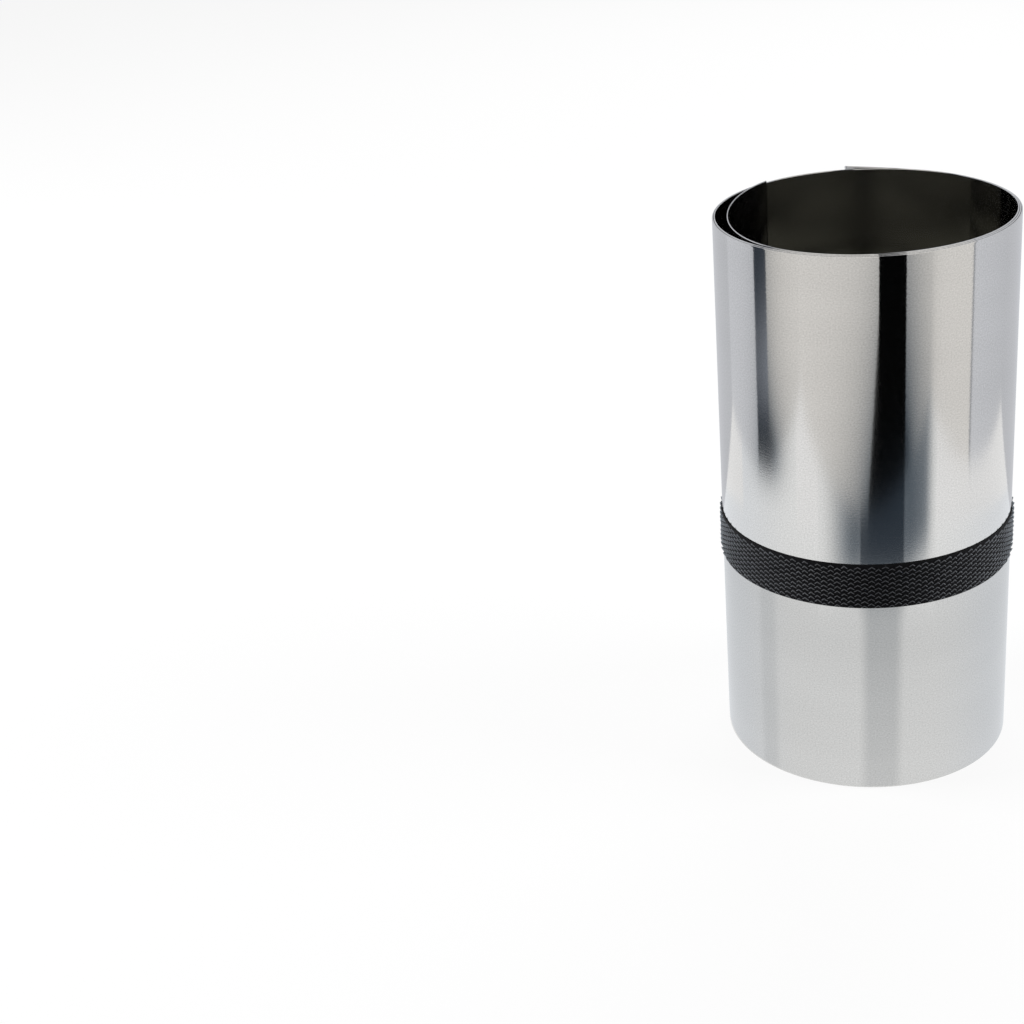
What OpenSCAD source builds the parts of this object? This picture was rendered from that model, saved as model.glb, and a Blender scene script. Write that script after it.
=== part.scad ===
// Roll of shim stock: a thin metal strip wound by hand, standing on its edge and held by a strap.
// The roll's axis is Z and its foot is at Z = 0. The strip winds outwards anticlockwise, seen from above,
// and angles are counted the same way, from +X. Its outer end leaves the roll at the back, at +Y.

/* [Strip] */
// Width of the strip, which is the height of the standing roll
strip_width = 152.4; // [120:0.1:310]
// Thickness of the strip
strip_thickness = 0.305; // [0.1:0.005:0.8]
// Outside diameter of the wound roll
roll_diameter = 79; // [60:0.5:150]
// Air between two wound turns
turn_gap = 0.13; // [0.12:0.01:0.4]

/* [Inner end] */
// Widest gap between the loose inner turn and the wound turns
inner_gap = 3; // [1.5:0.1:6]
// Angle of the inner end's edge
inner_end_angle = 146; // [125:1:160]

/* [Outer end] */
// Length of the flat stretch that stands off the roll at the outer end
outer_flat = 13.8; // [8:0.1:20]

/* [Strap] */
// Width of the strap
strap_width = 12.7; // [6:0.1:25]
// Thickness of the strap
strap_thickness = 0.9; // [0.5:0.1:1.5]
// Height of the strap's lower edge above the foot of the roll
strap_height = 56; // [10:0.5:95]
// Gap between the strap and the roll
strap_clearance = 0.1; // [0.05:0.05:0.3]
// Length by which the strap laps over its own start
strap_lap = 30; // [15:1:40]
// Angle of the strap's lapped end
strap_end_angle = 35; // [10:1:45]

/* [Hidden] */
$fn = 180;

// Sizes that arcs share are whole micrometres, so that one arc ends exactly where the next one starts.
function whole_micron(size) = round(size * 1000) / 1000;

half_turn = 180;
strip_t = whole_micron(strip_thickness);
roll_r = whole_micron(roll_diameter / 2);
sector_reach = roll_diameter;

// The wound turns are half circles about the roll's axis and, in turn, about a centre half a pitch beside it.
side_centre = whole_micron((strip_thickness + turn_gap) / 2);
pitch = 2 * side_centre;

// Inner faces of the turns at +X, from the outermost inwards
outer_turn_r = roll_r - strip_t;
middle_turn_r = outer_turn_r - pitch;
inner_turn_r = middle_turn_r - pitch;

// The loose inner turn is half a circle about a centre moved towards +X.
loose_centre = whole_micron((inner_gap + strip_thickness) / 2);
loose_r = inner_turn_r - loose_centre;
loose_reach = loose_r - loose_centre;

// The strip straightens towards its inner end, whose outer corner lies against the innermost wound turn.
inner_corner_r = inner_turn_r - turn_gap;
inner_corner = inner_corner_r * [cos(inner_end_angle), sin(inner_end_angle)];
inner_end_centre = whole_micron(arc_centre(inner_corner, loose_reach + strip_t));
inner_end_r = inner_end_centre + loose_reach;

// The strap follows the roll's outside in front and on the right. It runs flat over the strip's outer end
// and comes back to the roll on the left in one arc round that end's corner.
strap_r = roll_r + strap_clearance;
strap_front_r = strap_r - side_centre;
outer_corner = [-outer_flat, roll_r];
bridge_centre = whole_micron(arc_centre(outer_corner, roll_r - pitch));
bridge_r = bridge_centre + strap_r - pitch;
strap_lap_sweep = strap_lap / (strap_r + strap_thickness) * half_turn / PI;

// Centre on the X axis of the circle that crosses this axis at -reach and passes through a point
function arc_centre(point, reach) = (point * point - reach ^ 2) / (2 * (reach + point.x));

// The half of the plane that starts at an angle and goes on anticlockwise
module half_plane(angle) {
    rotate(angle)
        translate([-sector_reach, 0])
            square([2 * sector_reach, sector_reach]);
}

// The part of the plane between two angles, at most half a turn apart
module sector(start, end) {
    intersection() {
        half_plane(start);
        half_plane(end - half_turn);
    }
}

// A stretch of the strip along an arc about a centre on the X axis, given by its inner radius
module strip_arc(radius, start, end, centre = 0) {
    translate([centre, 0])
        intersection() {
            difference() {
                circle(radius + strip_t);
                circle(radius);
            }
            sector(start, end);
        }
}

// One turn of the strip: a half circle about the axis, then one about the side centre
module wound_turn(radius) {
    strip_arc(radius, 0, half_turn);
    strip_arc(radius + side_centre, half_turn, 2 * half_turn, side_centre);
}

// The stretch at the inner end, an arc that its centre's sector cuts at the end's edge
module inner_end() {
    edge = inner_corner - [inner_end_centre, 0];
    strip_arc(inner_end_r, atan2(edge.y, edge.x), half_turn, inner_end_centre);
}

// The flat stretch at the outer end
module outer_end() {
    translate([-outer_flat, outer_turn_r])
        square([outer_flat, strip_t]);
}

// The strip, from its inner end outwards
module shim_coil() {
    color("silver")
        linear_extrude(strip_width) {
            inner_end();
            strip_arc(loose_r, half_turn, 2 * half_turn, loose_centre);
            wound_turn(inner_turn_r);
            wound_turn(middle_turn_r);
            strip_arc(outer_turn_r, 0, half_turn / 2);
            outer_end();
        }
}

// Everything inside the strap's inner face, or inside a face that lies further out
module inside_strap(further_out = 0) {
    intersection() {
        translate([side_centre, 0])
            circle(strap_front_r + further_out);
        half_plane(half_turn);
    }
    intersection() {
        circle(strap_r + further_out);
        square(sector_reach);
    }
    intersection() {
        translate([bridge_centre, 0])
            circle(bridge_r + further_out);
        translate([-sector_reach, 0])
            square([sector_reach, strap_r + further_out]);
    }
}

// The second layer where the strap's end laps over its start
module strap_lapped_end() {
    intersection() {
        circle(strap_r + 2 * strap_thickness);
        sector(strap_end_angle, strap_end_angle + strap_lap_sweep);
    }
}

// The strap, closed round the roll
module strap() {
    color([0.1, 0.1, 0.11])
        translate([0, 0, strap_height])
            linear_extrude(strap_width)
                difference() {
                    union() {
                        inside_strap(strap_thickness);
                        strap_lapped_end();
                    }
                    inside_strap();
                }
}

shim_coil();
strap();
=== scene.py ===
"""Dresses the roll of shim stock: its strip and hook strap, their materials, a small studio and the camera.

Lengths are in millimetres until a mesh is made, and angles are in degrees, counted anticlockwise from +X.
The studio is laid out as the photograph shows it: a place in it is given to the right of the roll and away
from the camera. The floor that the roll's wall mirrors is placed by angles from the wall's front and by
heights on the wall.
"""
import math

import bpy
import numpy as np
from mathutils import Matrix, Vector

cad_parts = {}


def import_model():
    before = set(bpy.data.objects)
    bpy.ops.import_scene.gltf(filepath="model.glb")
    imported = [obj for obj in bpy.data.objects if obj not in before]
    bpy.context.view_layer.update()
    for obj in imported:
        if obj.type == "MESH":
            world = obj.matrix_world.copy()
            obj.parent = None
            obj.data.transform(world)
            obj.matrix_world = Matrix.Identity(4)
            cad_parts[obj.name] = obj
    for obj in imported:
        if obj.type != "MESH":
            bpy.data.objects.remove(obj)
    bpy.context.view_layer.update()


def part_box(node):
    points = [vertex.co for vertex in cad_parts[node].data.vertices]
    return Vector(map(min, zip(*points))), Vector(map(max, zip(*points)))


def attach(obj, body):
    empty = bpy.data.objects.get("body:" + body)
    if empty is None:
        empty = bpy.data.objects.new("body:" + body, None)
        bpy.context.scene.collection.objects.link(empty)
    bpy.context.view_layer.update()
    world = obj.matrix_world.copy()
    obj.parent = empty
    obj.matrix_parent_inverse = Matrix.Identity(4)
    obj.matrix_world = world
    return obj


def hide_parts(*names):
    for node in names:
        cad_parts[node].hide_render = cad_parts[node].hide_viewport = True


MM = 0.001
UV_NAME = "run_and_height"
TONE_NAME = "tone"

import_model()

# Sizes of the strip, as the solids have them
STRIP_THICKNESS = 0.305
TURN_GAP = 0.13
INNER_GAP = 3.0
INNER_END_ANGLE = 146
OUTER_FLAT = 13.8
coil_low, coil_high = (np.array(corner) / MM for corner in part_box("shim_coil"))
STRIP_WIDTH = coil_high[2] - coil_low[2]
ROLL_R = coil_high[0]
TURN_PITCH = STRIP_THICKNESS + TURN_GAP
SIDE_CENTRE = TURN_PITCH / 2

# Sizes of the strap, as the solids have them
STRAP_CLEARANCE = 0.1
STRAP_LAP = 30
STRAP_END_ANGLE = 35
strap_low, strap_high = (np.array(corner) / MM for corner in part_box("strap"))
STRAP_FOOT = strap_low[2]
STRAP_WIDTH = strap_high[2] - strap_low[2]
STRAP_R = ROLL_R + STRAP_CLEARANCE

# Angles between the strip's points along its turns, points on its flat end and rows across its width
STRIP_STEP = 1.0
LOOSE_STEP = 0.5
FLAT_POINTS = 15
STRIP_ROWS = 14

# Distance within which two points of a route are one
SAME_POINT = 0.0001

# Air that is seen between the turns, less than the solids have, so that no light comes through the rim
SEEN_GAP = 0.05

# Angles where the loose inner turn stands furthest from the wound turns, and where it meets them
LOOSE_TOP_ANGLE = 192
LOOSE_END_ANGLE = 258

# Rounding of the strip's edges, as depth and height, and the place of the face's first row from the edge
EDGE_ROUNDING = (0.08, 0.25)
EDGE_STEPS = 4
EDGE_BAND = 0.4

# How much higher the top edge is on the inner turns, and at the strip's inner and outer ends
RUN_OUT = 0.5
END_RISE, END_REACH = 0.45, 45
TAIL_RISE, TAIL_REACH = 0.45, 26

# Waves of the strip's face: size, length along the strip, length across it and phase
WAVES = (
    (0.005, 47.0, 160.0, 0.4),
    (0.0025, 29.0, 90.0, 2.1),
    (0.0012, 17.0, 310.0, 4.0),
)

# Finish of the strip
STEEL_DARK, STEEL_LIGHT = (0.51, 0.508, 0.5), (0.87, 0.863, 0.856)
STEEL_ROUGHNESS = (0.065, 0.085)
CLOUD_SHARE = 0.25
GRAIN_DEPTH = 0.005

# The strap's tape, the ramp from its lapped end down to the roll and the softening of its bends
TAPE_THICKNESS = 0.18
TAPE_STEP = 0.7
TAPE_ROWS = 8
TAPE_ROUNDING = (0.08, 0.12)
LAP_GAP = 0.05
RAMP_LENGTH = 7.0
CORNER_SOFTENING = 2.0
TAPE_DARK, TAPE_LIGHT = (0.003, 0.003, 0.004), (0.009, 0.009, 0.01)
WEAVE_DEPTH = 0.08

# Pattern of the hooks on the tape, and how much they differ
HOOK_ROWS = 9
HOOK_ROW_PITCH = 1.335
HOOK_COLUMN_PITCH = 1.74
HOOK_MARGIN = 0.55
HOOK_START = 0.7 * HOOK_COLUMN_PITCH
HOOK_JITTER = 0.06
HOOK_STRETCH = 0.1
SEED = 7

# One hook: a bowed thread, how deep its ends sink into the tape and how far its normals lean outwards
HOOK_SPAN = 1.6
HOOK_RISE = 0.8
HOOK_BEND = 1.15
HOOK_HEIGHT = 0.38
HOOK_SINK = 0.12
HOOK_THREAD = 0.3
HOOK_POINTS = 7
HOOK_SIDES = 6
HOOK_FACING = 0.85
HOOK_DARK, HOOK_LIGHT = (0.018, 0.019, 0.022), (0.065, 0.068, 0.078)
HOOK_ROUGHNESS = (0.28, 0.4)
HOOK_SHEEN_TINT = (0.82, 0.91, 1.0, 1.0)

# The photograph's camera, and the turn of the photograph's frame against the roll's
PHOTO_TURN = 12
CAMERA_DISTANCE = 467.1
CAMERA_HEIGHT = 290.0
CAMERA_YAW = 12.06
CAMERA_TILT = 25.24
CAMERA_ROLL = -5.18
LENS = 64.31
SENSOR = 36
CLIP_START, CLIP_END = 10, 100000

# Floor and surroundings: the floor's own white for rays that show it, which ends under the roll, and the
# light that the world sheds
FLOOR_REACH = 20000
FLOOR_DROP = 0.02
FLOOR_TONE = (0.86, 0.86, 0.86, 1)
UNDER_ROLL_R = ROLL_R - 2 * TURN_PITCH
WHITE_SHARE = 0.9
WHITE = (1, 1, 1, 1)
DIM_WORLD = 0.07
FIRST_BOUNCE = 1

# Cards that the wall mirrors, glowing faces painted with their light: their mesh, their tones, the tint and
# the least light of their dim parts, and the fall of light per millimetre along the far right one
CARD_HEIGHT = 600
CARD_COLUMNS = 33
CARD_ROWS = 25
WARM_CARD = np.array([0.85, 0.83, 0.80])
COOL_CARD = np.array([0.73, 0.745, 0.785])
BACK_CARD = 0.88 * COOL_CARD
SEAM_CARD = 0.55 * COOL_CARD
DARK_CARD = np.array([0.0005, 0.0005, 0.0005])
SLIT_CARD = 0.2 * np.array([0.92, 1.0, 1.15])
SHADE_TINT = np.array([0.11, 0.0, -0.11])
DIMMEST = 0.03
BACK_FALL = 0.0007

# Dark gaps in the front and back cards, painted as near-black faces for the darkness seen through them.
# The front one's left edge leans over towards the foot.
GAP_PLANE = -215
GAP_STANDOFF = 1
GAP_FOOT_ANGLE = 1
GAP_TOP_ANGLE = 4.8
GAP_RIGHT_ANGLE = 14.5
GAP_LEAN_HEIGHT = 70
BACK_GAP_PLANE = 126
BACK_GAP_LEFT, BACK_GAP_RIGHT = -30, 12

# The floor as the wall mirrors it, painted on glowing patches: its patches, its tone and the painted shade
# that dims its sides, and its painted light near the roll and further out
PATCH_HEIGHT = 0.1
PATCH_TOP = 116
NEAR_PATCH_ANGLES = (-85, 85)
NEAR_PATCH_TOP = 78
FLOOR_SEEN = np.array([0.945, 0.955, 0.955])
SIDE_SHADE = np.array([0.075, 0.055, 0.02])
SIDE_ANGLE, SIDE_WIDTH = 25, 35
NEAR_LIGHT, NEAR_FALL = 0.92, 0.07
FAR_LIGHT = 1.04

# Shade on the floor beside the front gap. Right of the gap it fades and its foot rises with each degree.
FRONT_SHADE_ANGLES = (-17.5, 27)
FRONT_LEFT_DARK, FRONT_LEFT_WIDTH = 0.86, 14
FRONT_RIGHT_DARK, FRONT_RIGHT_WIDTH = 0.92, 5
FRONT_RIGHT_FADE = 0.018
FRONT_FOOT_SLOPE, FRONT_FOOT_WIDTH = 0.9, 15

# Shade on the floor before the front gap, and the faint trace of the gap below the strap
GAP_FLOOR_ANGLE = GAP_FOOT_ANGLE - 2.5
GAP_FLOOR_DARK, GAP_FLOOR_WIDTH = 0.96, 10
GAP_TRACE_ANGLES = (-2.5, GAP_RIGHT_ANGLE + 1.5)
GAP_TRACE_DARK, GAP_TRACE_SLOPE, GAP_TRACE_WIDTH = 0.15, 0.0025, 5

# Shade on the floor before the left slit, and the faint trace of the slit below the strap
SLIT_PATCH_ANGLES = (-54, -26)
SLIT_PATCH_TOP = 112
SLIT_END_ANGLE, SLIT_END_SPREAD = -39, 7.5
SLIT_END_FOOT, SLIT_END_WIDTH = 87, 5
SLIT_END_DARK = 0.96
SLIT_TRACE_ANGLES = (-47, -35)
SLIT_TRACE_DARK, SLIT_TRACE_WIDTH = 0.11, 4

# Light in the left slit: at its foot, away from its brightest height and from its far to its near side
SLIT_FOOT_LIGHT, SLIT_FOOT_HEIGHT = 0.35, 14
SLIT_DIM_LIGHT = 0.2
SLIT_BRIGHT_HEIGHT, SLIT_BRIGHT_SPREAD = 40, 24
SLIT_FAR_LIGHT, SLIT_NEAR_RISE = 0.8, 0.01

# Light inside the roll: in its middle, beside it and at its edge, by the share of the way from the middle
BORE_TONE = np.array([0.042, 0.041, 0.032])
BORE_DEPTH = 47
BORE_MIDDLE_LIGHT = 0.45
BORE_SIDE, BORE_SIDE_LIGHT = 0.5, 1.2
BORE_EDGE, BORE_EDGE_LIGHT = 0.75, 0.7


def turned(angle):
    """Unit vectors at angles, one row each."""
    angle = np.radians(angle)
    return np.stack([np.cos(angle), np.sin(angle)], axis=-1)


def unit(vectors):
    """Vectors in rows, each brought to a length of 1."""
    return vectors / np.linalg.norm(vectors, axis=-1, keepdims=True)


def smooth_step(share):
    """0 to 1 with a level start and end."""
    share = np.clip(share, 0, 1)
    return share * share * (3 - 2 * share)


def blend(first, second, share):
    """From a first value, at a share of 0, to a second one, at 1."""
    return first + (second - first) * share


def arc(centre_x, radius, start, end, step=STRIP_STEP):
    """Points along an arc about a centre on the X axis, with their outward normals."""
    count = max(2, int(math.ceil(abs(end - start) / step)) + 1)
    normals = turned(np.linspace(start, end, count))
    return normals * radius + [centre_x, 0], normals


def flat(places_x, y):
    """Points along a flat stretch at the back, with their outward normals."""
    points = np.stack([places_x, np.full_like(places_x, y)], axis=-1)
    return points, np.tile([0.0, 1.0], (len(points), 1))


def join(stretches):
    """One route from stretches in a row: points, outward normals and the run length at each point."""
    points = np.concatenate([stretch[0] for stretch in stretches])
    normals = np.concatenate([stretch[1] for stretch in stretches])
    gaps = np.linalg.norm(np.diff(points, axis=0), axis=1)
    keep = np.concatenate([[True], gaps > SAME_POINT])
    points, normals = points[keep], normals[keep]
    run = np.concatenate([[0], np.cumsum(np.linalg.norm(np.diff(points, axis=0), axis=1))])
    return points, normals, run


def along_route(places, run, pairs):
    """Pairs of values that are known at each run length, read at places between them."""
    return np.stack([np.interp(places, run, pairs[:, k]) for k in (0, 1)], axis=-1)


def arc_centre(point, reach):
    """Centre on the X axis of the circle that crosses this axis at -reach and passes through a point."""
    return (point @ point - reach ** 2) / (2 * (reach + point[0]))


def loose_turn(inner_r):
    """The loose inner turn, from the strip's inner end. It bulges inwards, away from the wound turns."""
    middle_r = inner_r + STRIP_THICKNESS / 2
    points, normals, run = join([
        arc(0, middle_r, INNER_END_ANGLE, 180, LOOSE_STEP),
        arc(SIDE_CENTRE, middle_r + SIDE_CENTRE, 180, 360, LOOSE_STEP),
    ])
    angles = np.degrees(np.arctan2(points[:, 1], points[:, 0])) % 360
    angles[-1] = 360
    leaving = np.clip((angles - INNER_END_ANGLE) / (LOOSE_TOP_ANGLE - INNER_END_ANGLE), 0, 1)
    closing = np.clip((angles - LOOSE_TOP_ANGLE) / (LOOSE_END_ANGLE - LOOSE_TOP_ANGLE), 0, 1)
    bulge = INNER_GAP * np.sin(math.pi / 2 * leaving) * np.cos(math.pi / 2 * closing) ** 2
    points = points - normals * bulge[:, None]
    slope = unit(np.gradient(points, run, axis=0))
    return points, np.stack([slope[:, 1], -slope[:, 0]], axis=-1)


def wound_turn(inner_r):
    """One wound turn: a half circle about the roll's axis, then one about the side centre."""
    middle_r = inner_r + STRIP_THICKNESS / 2
    return [
        arc(0, middle_r, 0, 180),
        arc(SIDE_CENTRE, middle_r + SIDE_CENTRE, 180, 360),
    ]


def strip_route():
    """The strip's middle line, from its inner end outwards."""
    outer_r = ROLL_R - STRIP_THICKNESS
    middle_r = outer_r - TURN_PITCH
    inner_r = middle_r - TURN_PITCH
    outer_middle_r = outer_r + STRIP_THICKNESS / 2
    return join([
        loose_turn(inner_r - TURN_PITCH),
        *wound_turn(inner_r),
        *wound_turn(middle_r),
        arc(0, outer_middle_r, 0, 90),
        flat(np.linspace(0, -OUTER_FLAT, FLAT_POINTS), outer_middle_r),
    ])


def section(width, thickness, rounding, rows, edge_band):
    """A flat bar's section as (offset outwards, height) pairs, anticlockwise from the foot of the outer face.

    Its edges are rounded by (depth, height), and the rows on its faces start at edge_band from each edge.
    """
    half = thickness / 2
    depth, rise = rounding
    inner = np.linspace(edge_band, width - edge_band, rows)
    heights = np.concatenate([[rise], inner, [width - rise]])
    outer_face = np.stack([np.full_like(heights, half), heights], axis=-1)
    inner_face = outer_face[::-1] * [-1, 1]
    quarter = turned(np.linspace(0, 90, EDGE_STEPS + 1)[1:]) * [depth, rise]
    top_out = quarter + [half - depth, width - rise]
    top_in = top_out[::-1] * [-1, 1]
    foot_out = quarter[::-1] * [1, -1] + [half - depth, rise]
    foot_in = foot_out[::-1] * [-1, 1]
    return np.concatenate([outer_face, top_out, top_in, inner_face, foot_in, foot_out])


def ring_quads(rings, size):
    """Faces between rings of points that follow each other, with as many points in each."""
    first = np.arange(rings - 1)[:, None] * size
    here = np.arange(size)[None, :]
    there = (here + 1) % size
    quads = np.stack([first + here, first + size + here, first + size + there, first + there], axis=-1)
    return quads.reshape(-1, 4)


def sweep(route, ring, foot=0.0, rise=0.0, wave=None):
    """Vertices, faces and (run, height) coordinates of a section swept along a route, with both ends closed.

    The section stands at a foot height. Its top rises further by a length that may change along the route,
    and a wave moves its faces outwards.
    """
    points, normals, run = route
    steps, size = len(points), len(ring)
    heights = np.broadcast_to(ring[:, 1], (steps, size))
    offsets = np.broadcast_to(ring[:, 0], (steps, size))
    if wave is not None:
        offsets = offsets + wave(run[:, None], heights)
    plan = points[:, None, :] + normals[:, None, :] * offsets[:, :, None]
    rises = np.broadcast_to(np.asarray(rise), (steps,))
    places = foot + heights + rises[:, None] * heights / heights.max()
    verts = np.concatenate([plan, places[:, :, None]], axis=2).reshape(-1, 3)
    ends = [list(range(size)), list(range(steps * size - 1, (steps - 1) * size - 1, -1))]
    spread = np.stack([np.broadcast_to(run[:, None], (steps, size)), heights], axis=-1).reshape(-1, 2)
    return verts, ring_quads(steps, size).tolist() + ends, spread


def add_object(name, data):
    """A new object in the scene from a mesh, a light or a camera."""
    made = bpy.data.objects.new(name, data)
    bpy.context.scene.collection.objects.link(made)
    return made


def mesh_piece(name, verts, faces, spread, materials, face_materials=None, own_normals=None):
    """A smooth mesh object in metres, with its (run, height) coordinates as UVs.

    Where a vertex has a normal of its own that isn't zero, it is used instead of the smooth one.
    """
    mesh = bpy.data.meshes.new(name)
    mesh.from_pydata((verts * MM).tolist(), [], faces)
    for material in materials:
        mesh.materials.append(material)
    mesh.polygons.foreach_set("use_smooth", np.ones(len(mesh.polygons), dtype=bool))
    if face_materials is not None:
        mesh.polygons.foreach_set("material_index", face_materials)
    corners = np.empty(len(mesh.loops), dtype=np.int32)
    mesh.loops.foreach_get("vertex_index", corners)
    uv = mesh.uv_layers.new(name=UV_NAME)
    uv.data.foreach_set("uv", (spread[corners] * MM).astype(np.float32).ravel())
    mesh.update()
    if own_normals is not None:
        mesh.normals_split_custom_set_from_vertices(own_normals.tolist())
    return add_object(name, mesh)


def strip_wave(run, height):
    """How far the strip's face stands off its true arc: a faint waviness that thin rolled sheet has."""
    total = 0
    for size, along, across, phase in WAVES:
        total = total + size * np.sin(math.tau * (run / along + height / across) + phase)
    return total


def wound_strip(material):
    """The strip. Its top edge is higher on the inner turns and at both ends, as in a roll wound by hand."""
    route = strip_route()
    run = route[2]
    width = STRIP_WIDTH - RUN_OUT - END_RISE
    thickness = STRIP_THICKNESS + TURN_GAP - SEEN_GAP
    ring = section(width, thickness, EDGE_ROUNDING, STRIP_ROWS, EDGE_BAND)
    inner_rise = END_RISE * (1 - smooth_step(run / END_REACH))
    tail_rise = TAIL_RISE * smooth_step(1 - (run[-1] - run) / TAIL_REACH)
    rise = RUN_OUT * (1 - run / run[-1]) + inner_rise + tail_rise
    verts, faces, spread = sweep(route, ring, rise=rise, wave=strip_wave)
    piece = mesh_piece("wound_strip", verts, faces, spread, [material])
    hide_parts("shim_coil")
    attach(piece, "root")


def strap_route():
    """The strap's inner face, from its lapped end round the roll to the end that lies under the lap."""
    step = math.degrees(TAPE_STEP / STRAP_R)
    lap_rise = TAPE_THICKNESS + LAP_GAP
    lapped_r = STRAP_R + lap_rise
    lap_end = STRAP_END_ANGLE + math.degrees(STRAP_LAP / lapped_r)

    ramp_end = min(lap_end + math.degrees(RAMP_LENGTH / STRAP_R), 90)
    ramp_angles = np.arange(lap_end, ramp_end, step)
    ramp_normals = turned(ramp_angles)
    fall = smooth_step((ramp_angles - lap_end) / (ramp_end - lap_end))
    ramp_points = ramp_normals * (lapped_r - lap_rise * fall)[:, None]

    outer_corner = np.array([-OUTER_FLAT, ROLL_R])
    bridge_centre = arc_centre(outer_corner, ROLL_R - TURN_PITCH)
    bridge_r = bridge_centre + STRAP_R - TURN_PITCH
    bridge_start = 180 - math.degrees(math.asin(STRAP_R / bridge_r))
    flat_end = bridge_centre + bridge_r * math.cos(math.radians(bridge_start))
    return join([
        arc(0, lapped_r, STRAP_END_ANGLE, lap_end, step),
        (ramp_points, ramp_normals),
        arc(0, STRAP_R, ramp_end, 90, step),
        flat(np.arange(0, flat_end, -TAPE_STEP), STRAP_R),
        arc(bridge_centre, bridge_r, bridge_start, 180, step),
        arc(SIDE_CENTRE, STRAP_R - SIDE_CENTRE, 180, 360, step),
        arc(0, STRAP_R, 360, 360 + lap_end, step),
    ])


def softened(route, reach):
    """The route in even steps, with normals that turn gently over a reach at its corners."""
    points, normals, run = route
    even = np.linspace(0, run[-1], int(run[-1] / TAPE_STEP) + 1)
    weights = np.exp(-0.5 * ((even[:, None] - run[None, :]) / reach) ** 2)
    weights = weights * np.gradient(run)
    weights = weights / weights.sum(axis=1, keepdims=True)
    return along_route(even, run, points), unit(weights @ normals), even


def hook_tube():
    """One hook as rings of (forward, up, out) points, with their normals.

    It is a thread bowed up and outwards, with both ends in the tape. The normals lean outwards, so that the
    hooks together are lit like the tape's face that they cover.
    """
    share = np.linspace(-1, 1, HOOK_POINTS)
    up = HOOK_RISE * (0.5 - np.abs(share) ** HOOK_BEND)
    out = (HOOK_HEIGHT + HOOK_SINK) * (1 - share ** 2) - HOOK_SINK
    line = np.stack([HOOK_SPAN / 2 * share, up, out], axis=-1)
    slope = unit(np.gradient(line, axis=0))
    across = unit(np.cross(slope, [0.0, 0.0, 1.0]))
    above = np.cross(across, slope)
    around = turned(np.arange(HOOK_SIDES) * 360 / HOOK_SIDES)
    round_normals = around[None, :, :1] * across[:, None, :] + around[None, :, 1:] * above[:, None, :]
    points = line[:, None, :] + round_normals * HOOK_THREAD / 2
    normals = (1 - HOOK_FACING) * round_normals + [0.0, 0.0, HOOK_FACING]
    return points.reshape(-1, 3), normals.reshape(-1, 3)


def hook_places(length):
    """Places of hooks along a length of tape and up it, in staggered columns, with the stretch of each."""
    rng = np.random.default_rng(SEED)
    columns = int(length / HOOK_COLUMN_PITCH)
    row, column = np.meshgrid(np.arange(HOOK_ROWS), np.arange(columns), indexing="ij")
    height = HOOK_MARGIN + (row + column % 2 / 2) * HOOK_ROW_PITCH
    along = HOOK_START + column * HOOK_COLUMN_PITCH
    height = (height + rng.uniform(-HOOK_JITTER, HOOK_JITTER, height.shape)).ravel()
    along = (along + rng.uniform(-HOOK_JITTER, HOOK_JITTER, along.shape)).ravel()
    stretch = rng.uniform(1 - HOOK_STRETCH, 1 + HOOK_STRETCH, (len(along), 1, 3))
    return along, height, stretch


def strap_hooks(route):
    """Hooks on the tape's outer face, as vertices, normals, faces and (run, height) pairs.

    They end where the tape starts to run under its own lap.
    """
    points, normals, run = route
    along, height, stretch = hook_places(run[-1] - STRAP_LAP)
    level = np.zeros((len(along), 1))
    out = np.concatenate([along_route(along, run, normals), level], axis=1)
    forward = np.concatenate([-out[:, 1:2], out[:, :1], level], axis=1)
    up = np.broadcast_to([0.0, 0.0, 1.0], out.shape)
    axes = np.stack([forward, up, out], axis=1)
    foot = np.concatenate([along_route(along, run, points), (height + STRAP_FOOT)[:, None]], axis=1)
    foot = foot + out * TAPE_THICKNESS

    tube, tube_normals = hook_tube()
    verts = foot[:, None, :] + (tube * stretch) @ axes
    hook_normals = tube_normals @ axes
    starts = np.arange(len(along)) * len(tube)
    faces = starts[:, None, None] + ring_quads(HOOK_POINTS, HOOK_SIDES)[None]
    spread = np.repeat(np.stack([along, height], axis=-1), len(tube), axis=0)
    return verts.reshape(-1, 3), hook_normals.reshape(-1, 3), faces.reshape(-1, 4), spread


def hook_strap(tape_material, hook_material):
    """The strap: a woven tape with hooks on its outer face, lapped over its own start at the back."""
    route = softened(strap_route(), CORNER_SOFTENING)
    points, normals, run = route
    middle = points + normals * TAPE_THICKNESS / 2, normals, run
    ring = section(STRAP_WIDTH, TAPE_THICKNESS, TAPE_ROUNDING, TAPE_ROWS, EDGE_BAND)
    verts, faces, spread = sweep(middle, ring, STRAP_FOOT)
    hook_verts, hook_normals, hook_faces, hook_spread = strap_hooks(route)
    material_of_face = np.repeat(np.array([0, 1], dtype=np.int32), [len(faces), len(hook_faces)])
    piece = mesh_piece(
        "hook_strap",
        np.concatenate([verts, hook_verts]),
        faces + (hook_faces + len(verts)).tolist(),
        np.concatenate([spread, hook_spread]),
        [tape_material, hook_material],
        material_of_face,
        np.concatenate([np.zeros_like(verts), hook_normals]),
    )
    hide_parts("strap")
    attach(piece, "root")


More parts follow.
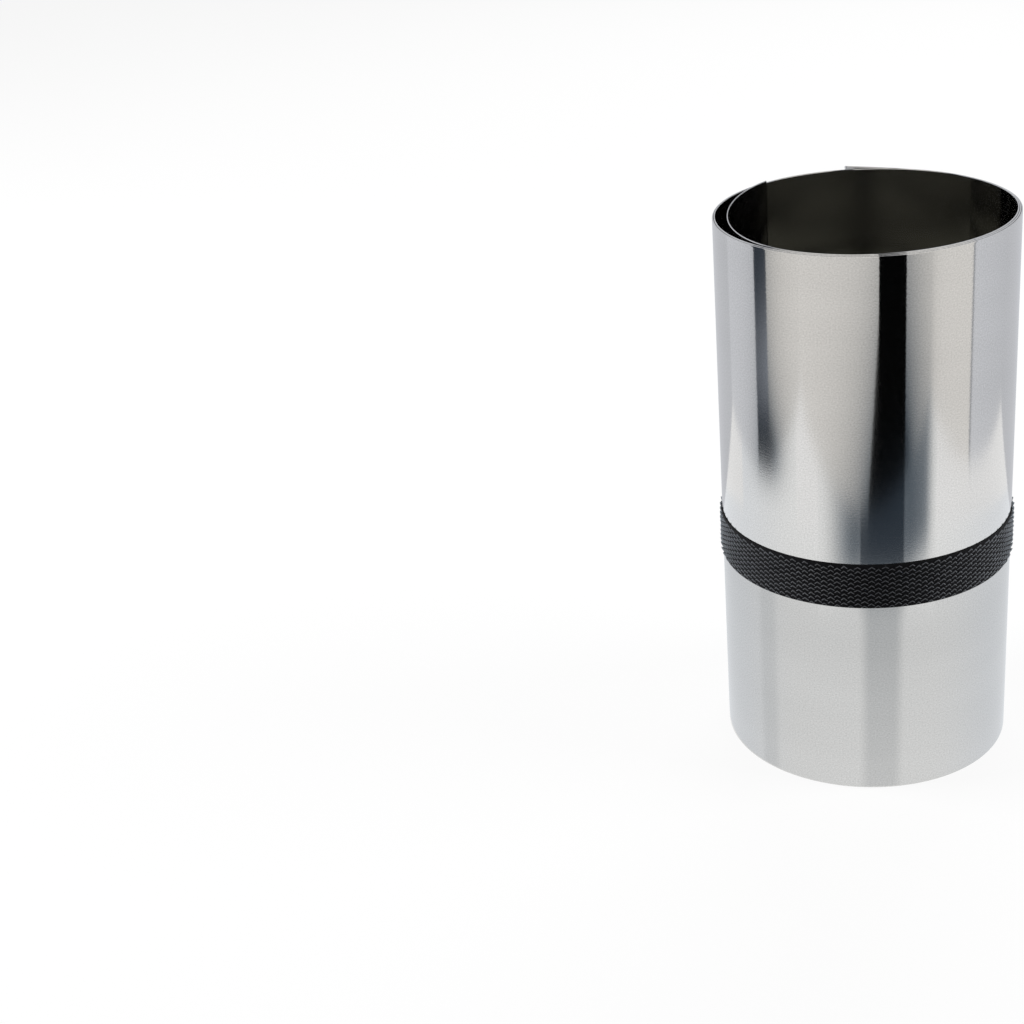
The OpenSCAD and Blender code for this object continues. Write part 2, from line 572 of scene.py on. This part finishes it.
class Nodes:
    """A node tree, with short calls that add and link nodes."""

    def __init__(self, tree):
        self.nodes = tree.nodes
        self.links = tree.links

    def put(self, socket, value):
        """Gives an input a value, or links it where the value is another node's output."""
        if isinstance(value, bpy.types.NodeSocket):
            self.links.new(value, socket)
        else:
            socket.default_value = value

    def node(self, kind, settings=None, **inputs):
        """A new node with its settings, and with inputs given by name."""
        made = self.nodes.new("ShaderNode" + kind)
        for setting, value in (settings or {}).items():
            setattr(made, setting, value)
        for name, value in inputs.items():
            self.put(made.inputs[name.replace("_", " ")], value)
        return made

    def ordered(self, kind, values, settings=None):
        """A new node with its settings, and with inputs given in their order."""
        made = self.node(kind, settings)
        for socket, value in zip(made.inputs, values):
            self.put(socket, value)
        return made

    def math(self, operation, *values):
        """The result of an operation on values or outputs."""
        return self.ordered("Math", values, {"operation": operation}).outputs["Value"]

    def ranged(self, value, low, high):
        """A value from 0 to 1 spread from low to high."""
        return self.node("MapRange", Value=value, To_Min=low, To_Max=high).outputs["Result"]

    def white_rays(self):
        """1 for rays that show the background, directly, mirrored or through glass, and 0 for its light."""
        path = self.node("LightPath").outputs
        shown = self.math("MAXIMUM", path["Is Camera Ray"], path["Is Glossy Ray"])
        shown = self.math("MAXIMUM", shown, path["Is Transmission Ray"])
        before_bounce = self.math("LESS_THAN", path["Diffuse Depth"], FIRST_BOUNCE)
        return self.math("MULTIPLY", shown, before_bounce)


class Shader(Nodes):
    """A material with a principled shader, whose inputs are given by name."""

    def __init__(self, name, **values):
        self.material = bpy.data.materials.new(name)
        self.material.use_nodes = True
        super().__init__(self.material.node_tree)
        self.surface = self.nodes["Principled BSDF"]
        self.output = self.nodes["Material Output"].inputs["Surface"]
        for socket, value in values.items():
            self.feed(socket.replace("_", " "), value)

    def feed(self, socket, value):
        """Gives one of the principled shader's inputs a value or another node's output."""
        self.put(self.surface.inputs[socket], value)

    def stretched_noise(self, along, across, detail=2.0, roughness=0.5):
        """Noise over the (run, height) coordinates, with a scale per metre along the run and across it."""
        place = self.node("UVMap", {"uv_map": UV_NAME}).outputs["UV"]
        stretch = self.node("Mapping", Vector=place, Scale=(along, across, 1.0)).outputs["Vector"]
        noise = self.node("TexNoise", Vector=stretch, Scale=1.0, Detail=detail, Roughness=roughness)
        return noise.outputs["Fac"]

    def tones(self, value, dark, light):
        """A colour between two tones."""
        ramp = self.node("ValToRGB", Fac=value)
        ramp.color_ramp.elements[0].color = (*dark, 1)
        ramp.color_ramp.elements[1].color = (*light, 1)
        return ramp.outputs["Color"]

    def bump(self, height, depth, strength=1.0):
        """Roughens the surface by a height from 0 to 1 times a depth."""
        made = self.node("Bump", Strength=strength, Distance=depth * MM, Height=height)
        self.feed("Normal", made.outputs["Normal"])


def steel_material():
    """Bright cold-rolled strip: fine rolling lines along its length blur reflections across them only."""
    steel = Shader("bright_rolled_steel", Metallic=1.0, Anisotropic=1.0, Anisotropic_Rotation=0.25)
    around = steel.node("Tangent", {"direction_type": "RADIAL", "axis": "Z"})
    steel.feed("Tangent", around.outputs["Tangent"])
    clouds = steel.stretched_noise(along=14.0, across=60.0, detail=3.0)
    speckle = steel.stretched_noise(along=2200.0, across=2600.0, detail=1.0)
    shade = steel.math("MULTIPLY_ADD", clouds, CLOUD_SHARE, steel.ranged(speckle, 0.0, 1 - CLOUD_SHARE))
    steel.feed("Base Color", steel.tones(shade, STEEL_DARK, STEEL_LIGHT))
    lines = steel.stretched_noise(along=9.0, across=2600.0, detail=3.0, roughness=0.6)
    steel.feed("Roughness", steel.ranged(lines, *STEEL_ROUGHNESS))
    steel.bump(steel.stretched_noise(along=900.0, across=2600.0), GRAIN_DEPTH)
    return steel.material


def tape_material():
    """The strap's woven ground, matt and nearly black."""
    tape = Shader(
        "strap_tape",
        Roughness=0.6,
        Specular_IOR_Level=0.02,
        Sheen_Weight=0.15,
        Sheen_Roughness=0.4,
    )
    weave = tape.stretched_noise(along=1500.0, across=2600.0, detail=1.0)
    tape.feed("Base Color", tape.tones(weave, TAPE_DARK, TAPE_LIGHT))
    tape.bump(weave, WEAVE_DEPTH, strength=0.8)
    return tape.material


def hook_material():
    """Black nylon thread, with some gloss and a cool sheen."""
    nylon = Shader(
        "strap_hooks",
        Specular_IOR_Level=0.6,
        Sheen_Weight=1.0,
        Sheen_Roughness=0.4,
        Sheen_Tint=HOOK_SHEEN_TINT,
    )
    shade = nylon.stretched_noise(along=700.0, across=900.0, detail=0.0)
    nylon.feed("Base Color", nylon.tones(shade, HOOK_DARK, HOOK_LIGHT))
    nylon.feed("Roughness", nylon.ranged(shade, *HOOK_ROUGHNESS))
    return nylon.material


def from_photo(places):
    """Places given to the right of the roll and away from the camera, in the roll's frame."""
    across, away = turned(PHOTO_TURN), turned(PHOTO_TURN + 90)
    places = np.asarray(places, dtype=float)
    return places[..., :1] * across + places[..., 1:] * away


def stage_mesh(name, points, faces, material):
    """A mesh of the studio in metres, with one material."""
    mesh = bpy.data.meshes.new(name)
    mesh.from_pydata((np.asarray(points) * MM).tolist(), [], faces)
    mesh.materials.append(material)
    return mesh


def floor_material():
    """A pale ground that is partly white of its own for rays that show it, except under the roll."""
    ground = Shader("pale_floor", Base_Color=FLOOR_TONE, Roughness=0.9, Specular_IOR_Level=0.1)
    position = ground.node("NewGeometry").outputs["Position"]
    level = ground.ordered("VectorMath", (position, (1, 1, 0)), {"operation": "MULTIPLY"}).outputs["Vector"]
    away = ground.ordered("VectorMath", (level,), {"operation": "LENGTH"}).outputs["Value"]
    outside = ground.math("GREATER_THAN", away, UNDER_ROLL_R * MM)
    shown = ground.math("MULTIPLY", outside, ground.white_rays())
    share = ground.math("MULTIPLY", shown, WHITE_SHARE)
    white = ground.node("Emission", Strength=1.0)
    mix = ground.ordered("MixShader", (share, ground.surface.outputs["BSDF"], white.outputs["Emission"]))
    ground.put(ground.output, mix.outputs["Shader"])
    return ground.material


def floor():
    """A wide floor just below the roll's foot."""
    sides = ((-1, -1), (1, -1), (1, 1), (-1, 1))
    corners = [(x * FLOOR_REACH, y * FLOOR_REACH, -FLOOR_DROP) for x, y in sides]
    piece = add_object("floor", stage_mesh("floor", corners, [(0, 1, 2, 3)], floor_material()))


def tone_material():
    """A shader that glows in the tone of each point of a face."""
    shader = Shader("card_tones")
    tone = shader.node("Attribute", {"attribute_name": TONE_NAME})
    even = shader.node("Emission", Color=tone.outputs["Color"])
    shader.put(shader.output, even.outputs["Emission"])
    return shader.material


def mirror_only(name, grid, tones, material):
    """A stage face that only mirrors see: a grid of points in the photograph's frame, each with a tone."""
    grid = np.asarray(grid, dtype=float)
    rows, columns = grid.shape[:2]
    places = np.concatenate([from_photo(grid[..., :2]), grid[..., 2:]], axis=-1)
    first = np.arange(rows - 1)[:, None] * columns + np.arange(columns - 1)
    quads = np.stack([first, first + 1, first + columns + 1, first + columns], axis=-1)
    mesh = stage_mesh(name, places.reshape(-1, 3), quads.reshape(-1, 4).tolist(), material)
    colours = np.ones((rows, columns, 4), dtype=np.float32)
    colours[..., :3] = tones
    layer = mesh.color_attributes.new(TONE_NAME, "FLOAT_COLOR", "POINT")
    layer.data.foreach_set("color", colours.ravel())
    piece = add_object(name, mesh)
    piece.visible_camera = False
    piece.visible_diffuse = False
    piece.visible_shadow = False


def tinted(light):
    """Light as a colour that turns bluish where it is dim."""
    return light ** (1 + SHADE_TINT * (1 - light))


def evenly(away, height):
    """Light that is full all over a card."""
    return np.ones_like(away + height)


def towards_back(away, height):
    """Light that falls off a little along a card, the same at each height."""
    return evenly(away, height) - BACK_FALL * away


def beside_gap(foot_dark, fall_width, fall_height, always_dark=0.0):
    """Light that fades towards the gap where a card starts, and most at its foot."""
    def light(away, height):
        dark = always_dark + foot_dark * np.exp(-height / fall_height)
        return np.clip(1 - dark * np.exp(-away / fall_width), DIMMEST, 1)
    return light


def slit_light(away, height):
    """Light in the left slit, dim at its foot, strongest a little above the floor and on its near side."""
    foot = blend(SLIT_FOOT_LIGHT, 1, smooth_step((height - SLIT_FOOT_HEIGHT) / SLIT_FOOT_HEIGHT))
    bright = np.exp(-((height - SLIT_BRIGHT_HEIGHT) / SLIT_BRIGHT_SPREAD) ** 2)
    return foot * blend(SLIT_DIM_LIGHT, 1, bright) * (SLIT_FAR_LIGHT + SLIT_NEAR_RISE * away)


def card(name, start, end, colour, material, light=evenly):
    """An upright card between two places on the floor, lit by the way from its start and the height."""
    start, end = np.array(start), np.array(end)
    along = np.linspace(0, 1, CARD_COLUMNS)
    # Rows lie closer together near the floor, where the light changes most
    heights = CARD_HEIGHT * np.linspace(0, 1, CARD_ROWS) ** 2
    grid = np.empty((CARD_ROWS, CARD_COLUMNS, 3))
    grid[..., :2] = start + (end - start) * along[:, None]
    grid[..., 2] = heights[:, None]
    away = along * np.linalg.norm(end - start)
    tones = colour * tinted(light(away[None, :, None], heights[:, None, None]))
    mirror_only(name, grid, tones, material)


def mirrored_ray(angle):
    """Where the camera's rays meet the wall at angles from its front, and how they go on, seen from above."""
    facing = turned(np.asarray(angle, dtype=float) - 90)
    place = ROLL_R * facing
    ray = place - [0, -CAMERA_DISTANCE]
    return place, ray - 2 * np.sum(ray * facing, axis=-1, keepdims=True) * facing


def mirrored_in_plane(angle):
    """The place in the plane of the front cards that the wall mirrors at an angle from its front."""
    place, ray = mirrored_ray(angle)
    return place + ray * (GAP_PLANE - place[1]) / ray[1]


def mirrored_floor(angle, height):
    """The places on the floor that the wall mirrors at angles from its front and heights."""
    place, ray = mirrored_ray(angle)
    return place + ray * (height / (CAMERA_HEIGHT - height))[..., None]


def front_gap(material):
    """The dark gap between the front cards, painted as a near-black face. Its left edge leans over towards
    the foot.
    """
    plane = GAP_PLANE + GAP_STANDOFF
    edges = (GAP_FOOT_ANGLE, GAP_TOP_ANGLE, GAP_RIGHT_ANGLE)
    foot, left, right = (mirrored_in_plane(angle)[0] for angle in edges)
    mirror_only("gap_front", [
        [(foot, plane, 0), (right, plane, 0)],
        [(left, plane, GAP_LEAN_HEIGHT), (right, plane, GAP_LEAN_HEIGHT)],
        [(left, plane, CARD_HEIGHT), (right, plane, CARD_HEIGHT)],
    ], DARK_CARD, material)


def back_gap(material):
    """The dark gap before the back card, painted as a near-black face, which the back of the wall mirrors."""
    mirror_only("gap_back", [
        [(BACK_GAP_LEFT, BACK_GAP_PLANE, height), (BACK_GAP_RIGHT, BACK_GAP_PLANE, height)]
        for height in (0, CARD_HEIGHT)
    ], DARK_CARD, material)


def floor_patch(name, angles, heights, light, material, layer):
    """A glowing patch of floor, its painted light placed and set by the angles and heights at which the wall
    mirrors it.
    """
    angle, height = np.meshgrid(np.linspace(*angles, CARD_COLUMNS), np.linspace(*heights, CARD_ROWS))
    level = np.full((*angle.shape, 1), layer * PATCH_HEIGHT)
    grid = np.concatenate([mirrored_floor(angle, height), level], axis=-1)
    aside = smooth_step((np.abs(angle) - SIDE_ANGLE) / SIDE_WIDTH)[..., None]
    tones = FLOOR_SEEN * (1 - SIDE_SHADE * aside) * tinted(light(angle, height)[..., None])
    mirror_only(name, grid, tones, material)


def soft_sided(angle, angles, width):
    """1 between two angles, with soft sides of a width."""
    return smooth_step((angle - angles[0]) / width) * smooth_step((angles[1] - angle) / width)


def above_strap(height):
    """0 below the strap and 1 above it."""
    return smooth_step((height - STRAP_FOOT) / STRAP_WIDTH)


def near_light(angle, height):
    """Light on the floor near the roll, which shades it a little, the same at each angle."""
    near = NEAR_LIGHT - NEAR_FALL * height / STRAP_FOOT
    return blend(near, FAR_LIGHT, above_strap(height)) * np.ones_like(angle)


def front_shade(angle, height):
    """Light on the floor beside the gap: dim, with a soft left side and a crisp right one."""
    right_of_gap = np.clip(angle - GAP_RIGHT_ANGLE, 0, None)
    left = FRONT_LEFT_DARK * smooth_step((angle - FRONT_SHADE_ANGLES[0]) / FRONT_LEFT_WIDTH)
    right = FRONT_RIGHT_DARK - FRONT_RIGHT_FADE * right_of_gap
    right_side = smooth_step((FRONT_SHADE_ANGLES[1] - angle) / FRONT_RIGHT_WIDTH)
    foot = STRAP_FOOT + FRONT_FOOT_SLOPE * right_of_gap
    return 1 - np.minimum(left, right) * right_side * smooth_step((height - foot) / FRONT_FOOT_WIDTH)


def gap_shade(angle, height):
    """Light on the floor before the gap: nearly none, and a faint trace of it that runs on to the roll."""
    trace = (GAP_TRACE_DARK + GAP_TRACE_SLOPE * height) * (1 - above_strap(height))
    trace = trace * soft_sided(angle, GAP_TRACE_ANGLES, GAP_TRACE_WIDTH)
    in_gap = (angle > GAP_FLOOR_ANGLE) & (angle < GAP_RIGHT_ANGLE)
    before_gap = 1 - GAP_FLOOR_DARK * smooth_step((height - STRAP_FOOT) / GAP_FLOOR_WIDTH)
    shade = np.where(in_gap, before_gap, front_shade(angle, height))
    return near_light(angle, height) * (1 - trace) * shade


def slit_shade(angle, height):
    """Light on the floor before the left slit: its short dark end, and a faint trace down to the roll."""
    trace = SLIT_TRACE_DARK * (1 - above_strap(height))
    trace = trace * soft_sided(angle, SLIT_TRACE_ANGLES, SLIT_TRACE_WIDTH)
    dark = SLIT_END_DARK * np.exp(-((angle - SLIT_END_ANGLE) / SLIT_END_SPREAD) ** 2)
    dark = dark * smooth_step((height - SLIT_END_FOOT) / SLIT_END_WIDTH)
    return near_light(angle, height) * (1 - np.maximum(trace, dark))


def bore_shade(material):
    """The dim light inside the roll, as a level face below its mouth that stays clear of the loose turn."""
    reach = ROLL_R - 2 * INNER_GAP
    angle, away = np.meshgrid(np.linspace(0, 360, CARD_COLUMNS), np.linspace(0, reach, CARD_ROWS))
    level = np.full((*angle.shape, 1), STRIP_WIDTH - BORE_DEPTH)
    grid = np.concatenate([turned(angle) * away[..., None], level], axis=-1)
    aside = np.abs(grid[..., 0]) / reach
    light = blend(BORE_MIDDLE_LIGHT, BORE_SIDE_LIGHT, smooth_step(aside / BORE_SIDE))
    light = light * blend(1, BORE_EDGE_LIGHT, smooth_step((aside - BORE_EDGE) / (1 - BORE_EDGE)))
    mirror_only("bore_shade", grid, BORE_TONE * light[..., None], material)


def cards(material):
    """A small tent round the roll: glowing faces painted with the light of pale cards, with dark gaps between
    them.
    """
    corner_left, corner_right = (-228, GAP_PLANE), (228, GAP_PLANE)
    back_left, back_right = (-242, 128), (242, 128)
    gap_left, gap_right = (mirrored_in_plane(angle) for angle in (GAP_TOP_ANGLE, GAP_RIGHT_ANGLE))
    slit_far, slit_near = (-235, -25), (-233, -73)
    seam_near, seam_far = (235, -46), (235, -39)
    left_of_gap = beside_gap(foot_dark=1.41, fall_width=62, fall_height=60)
    right_of_gap = beside_gap(foot_dark=1.15, fall_width=95, fall_height=105)
    beside_corner = beside_gap(foot_dark=0.33, fall_width=25, fall_height=105)
    behind_slit = beside_gap(foot_dark=0.4, fall_width=38, fall_height=22, always_dark=0.17)
    before_slit = beside_gap(foot_dark=1.3, fall_width=50, fall_height=18, always_dark=0.36)

    card("card_front_left", gap_left, corner_left, WARM_CARD, material, left_of_gap)
    card("card_front_right", gap_right, corner_right, WARM_CARD, material, right_of_gap)
    front_gap(material)
    card("card_right_near", corner_right, seam_near, WARM_CARD, material, beside_corner)
    card("seam_right", seam_near, seam_far, SEAM_CARD, material)
    card("card_right_far", seam_far, back_right, COOL_CARD, material, towards_back)
    card("card_back", back_right, back_left, BACK_CARD, material)
    back_gap(material)
    card("card_left_far", slit_far, back_left, COOL_CARD, material, behind_slit)
    card("slit_left", slit_far, slit_near, SLIT_CARD, material, slit_light)
    card("card_left_near", slit_near, corner_left, WARM_CARD, material, before_slit)


def floor_patches(material):
    """The floor round the roll as its wall mirrors it, in layers of glowing patches, with painted shades
    before the tent's gaps.
    """
    front_heights = (STRAP_FOOT, PATCH_TOP)
    floor_patch("floor_near", NEAR_PATCH_ANGLES, (0, NEAR_PATCH_TOP), near_light, material, layer=1)
    floor_patch("shade_front", FRONT_SHADE_ANGLES, front_heights, front_shade, material, layer=2)
    floor_patch("shade_slit", SLIT_PATCH_ANGLES, (0, SLIT_PATCH_TOP), slit_shade, material, layer=2)
    floor_patch("shade_gap", GAP_TRACE_ANGLES, (0, PATCH_TOP), gap_shade, material, layer=3)


def mirrored_studio():
    """All that only the bright strip shows: the tent, the floor and the dim light inside the roll."""
    glow = tone_material()
    cards(glow)
    floor_patches(glow)
    bore_shade(glow)


def lamp(name, place, size, power):
    """A soft square lamp that faces the middle of the roll, and that mirrors don't show."""
    light = bpy.data.lights.new(name, "AREA")
    light.shape = "SQUARE"
    light.size = size * MM
    light.energy = power
    made = add_object(name, light)
    made.visible_glossy = False
    x, y = from_photo(place[:2]) * MM
    made.location = (x, y, place[2] * MM)
    aim = Vector((0, 0, STRIP_WIDTH / 2 * MM)) - made.location
    made.rotation_euler = aim.to_track_quat("-Z", "Y").to_euler()


def lamps():
    """Soft light from both sides and from behind."""
    lamp("lamp_left", place=(-1000, 0, 450), size=600, power=14.0)
    lamp("lamp_right", place=(1000, 0, 450), size=600, power=12.0)
    lamp("lamp_back", place=(100, 1000, 800), size=800, power=8.0)


def world():
    """A white surrounding for rays that show it, and a dim one for the light that it sheds."""
    made = bpy.data.worlds.new("studio")
    bpy.context.scene.world = made
    made.use_nodes = True
    sky = Nodes(made.node_tree)
    background = sky.nodes["Background"].inputs
    sky.put(background["Color"], WHITE)
    sky.put(background["Strength"], sky.ranged(sky.white_rays(), DIM_WORLD, 1.0))


def camera():
    """The photograph's camera."""
    data = bpy.data.cameras.new("camera")
    data.lens = LENS
    data.sensor_width = SENSOR
    data.clip_start = CLIP_START * MM
    data.clip_end = CLIP_END * MM
    made = add_object("camera", data)
    x, y = from_photo((0, -CAMERA_DISTANCE)) * MM
    made.matrix_world = (
        Matrix.Translation((x, y, CAMERA_HEIGHT * MM))
        @ Matrix.Rotation(math.radians(CAMERA_YAW + PHOTO_TURN), 4, "Z")
        @ Matrix.Rotation(math.radians(90 - CAMERA_TILT), 4, "X")
        @ Matrix.Rotation(math.radians(CAMERA_ROLL), 4, "Z")
    )
    bpy.context.scene.camera = made


bpy.context.scene.view_settings.view_transform = "Standard"
camera()
wound_strip(steel_material())
hook_strap(tape_material(), hook_material())
floor()
mirrored_studio()
lamps()
world()
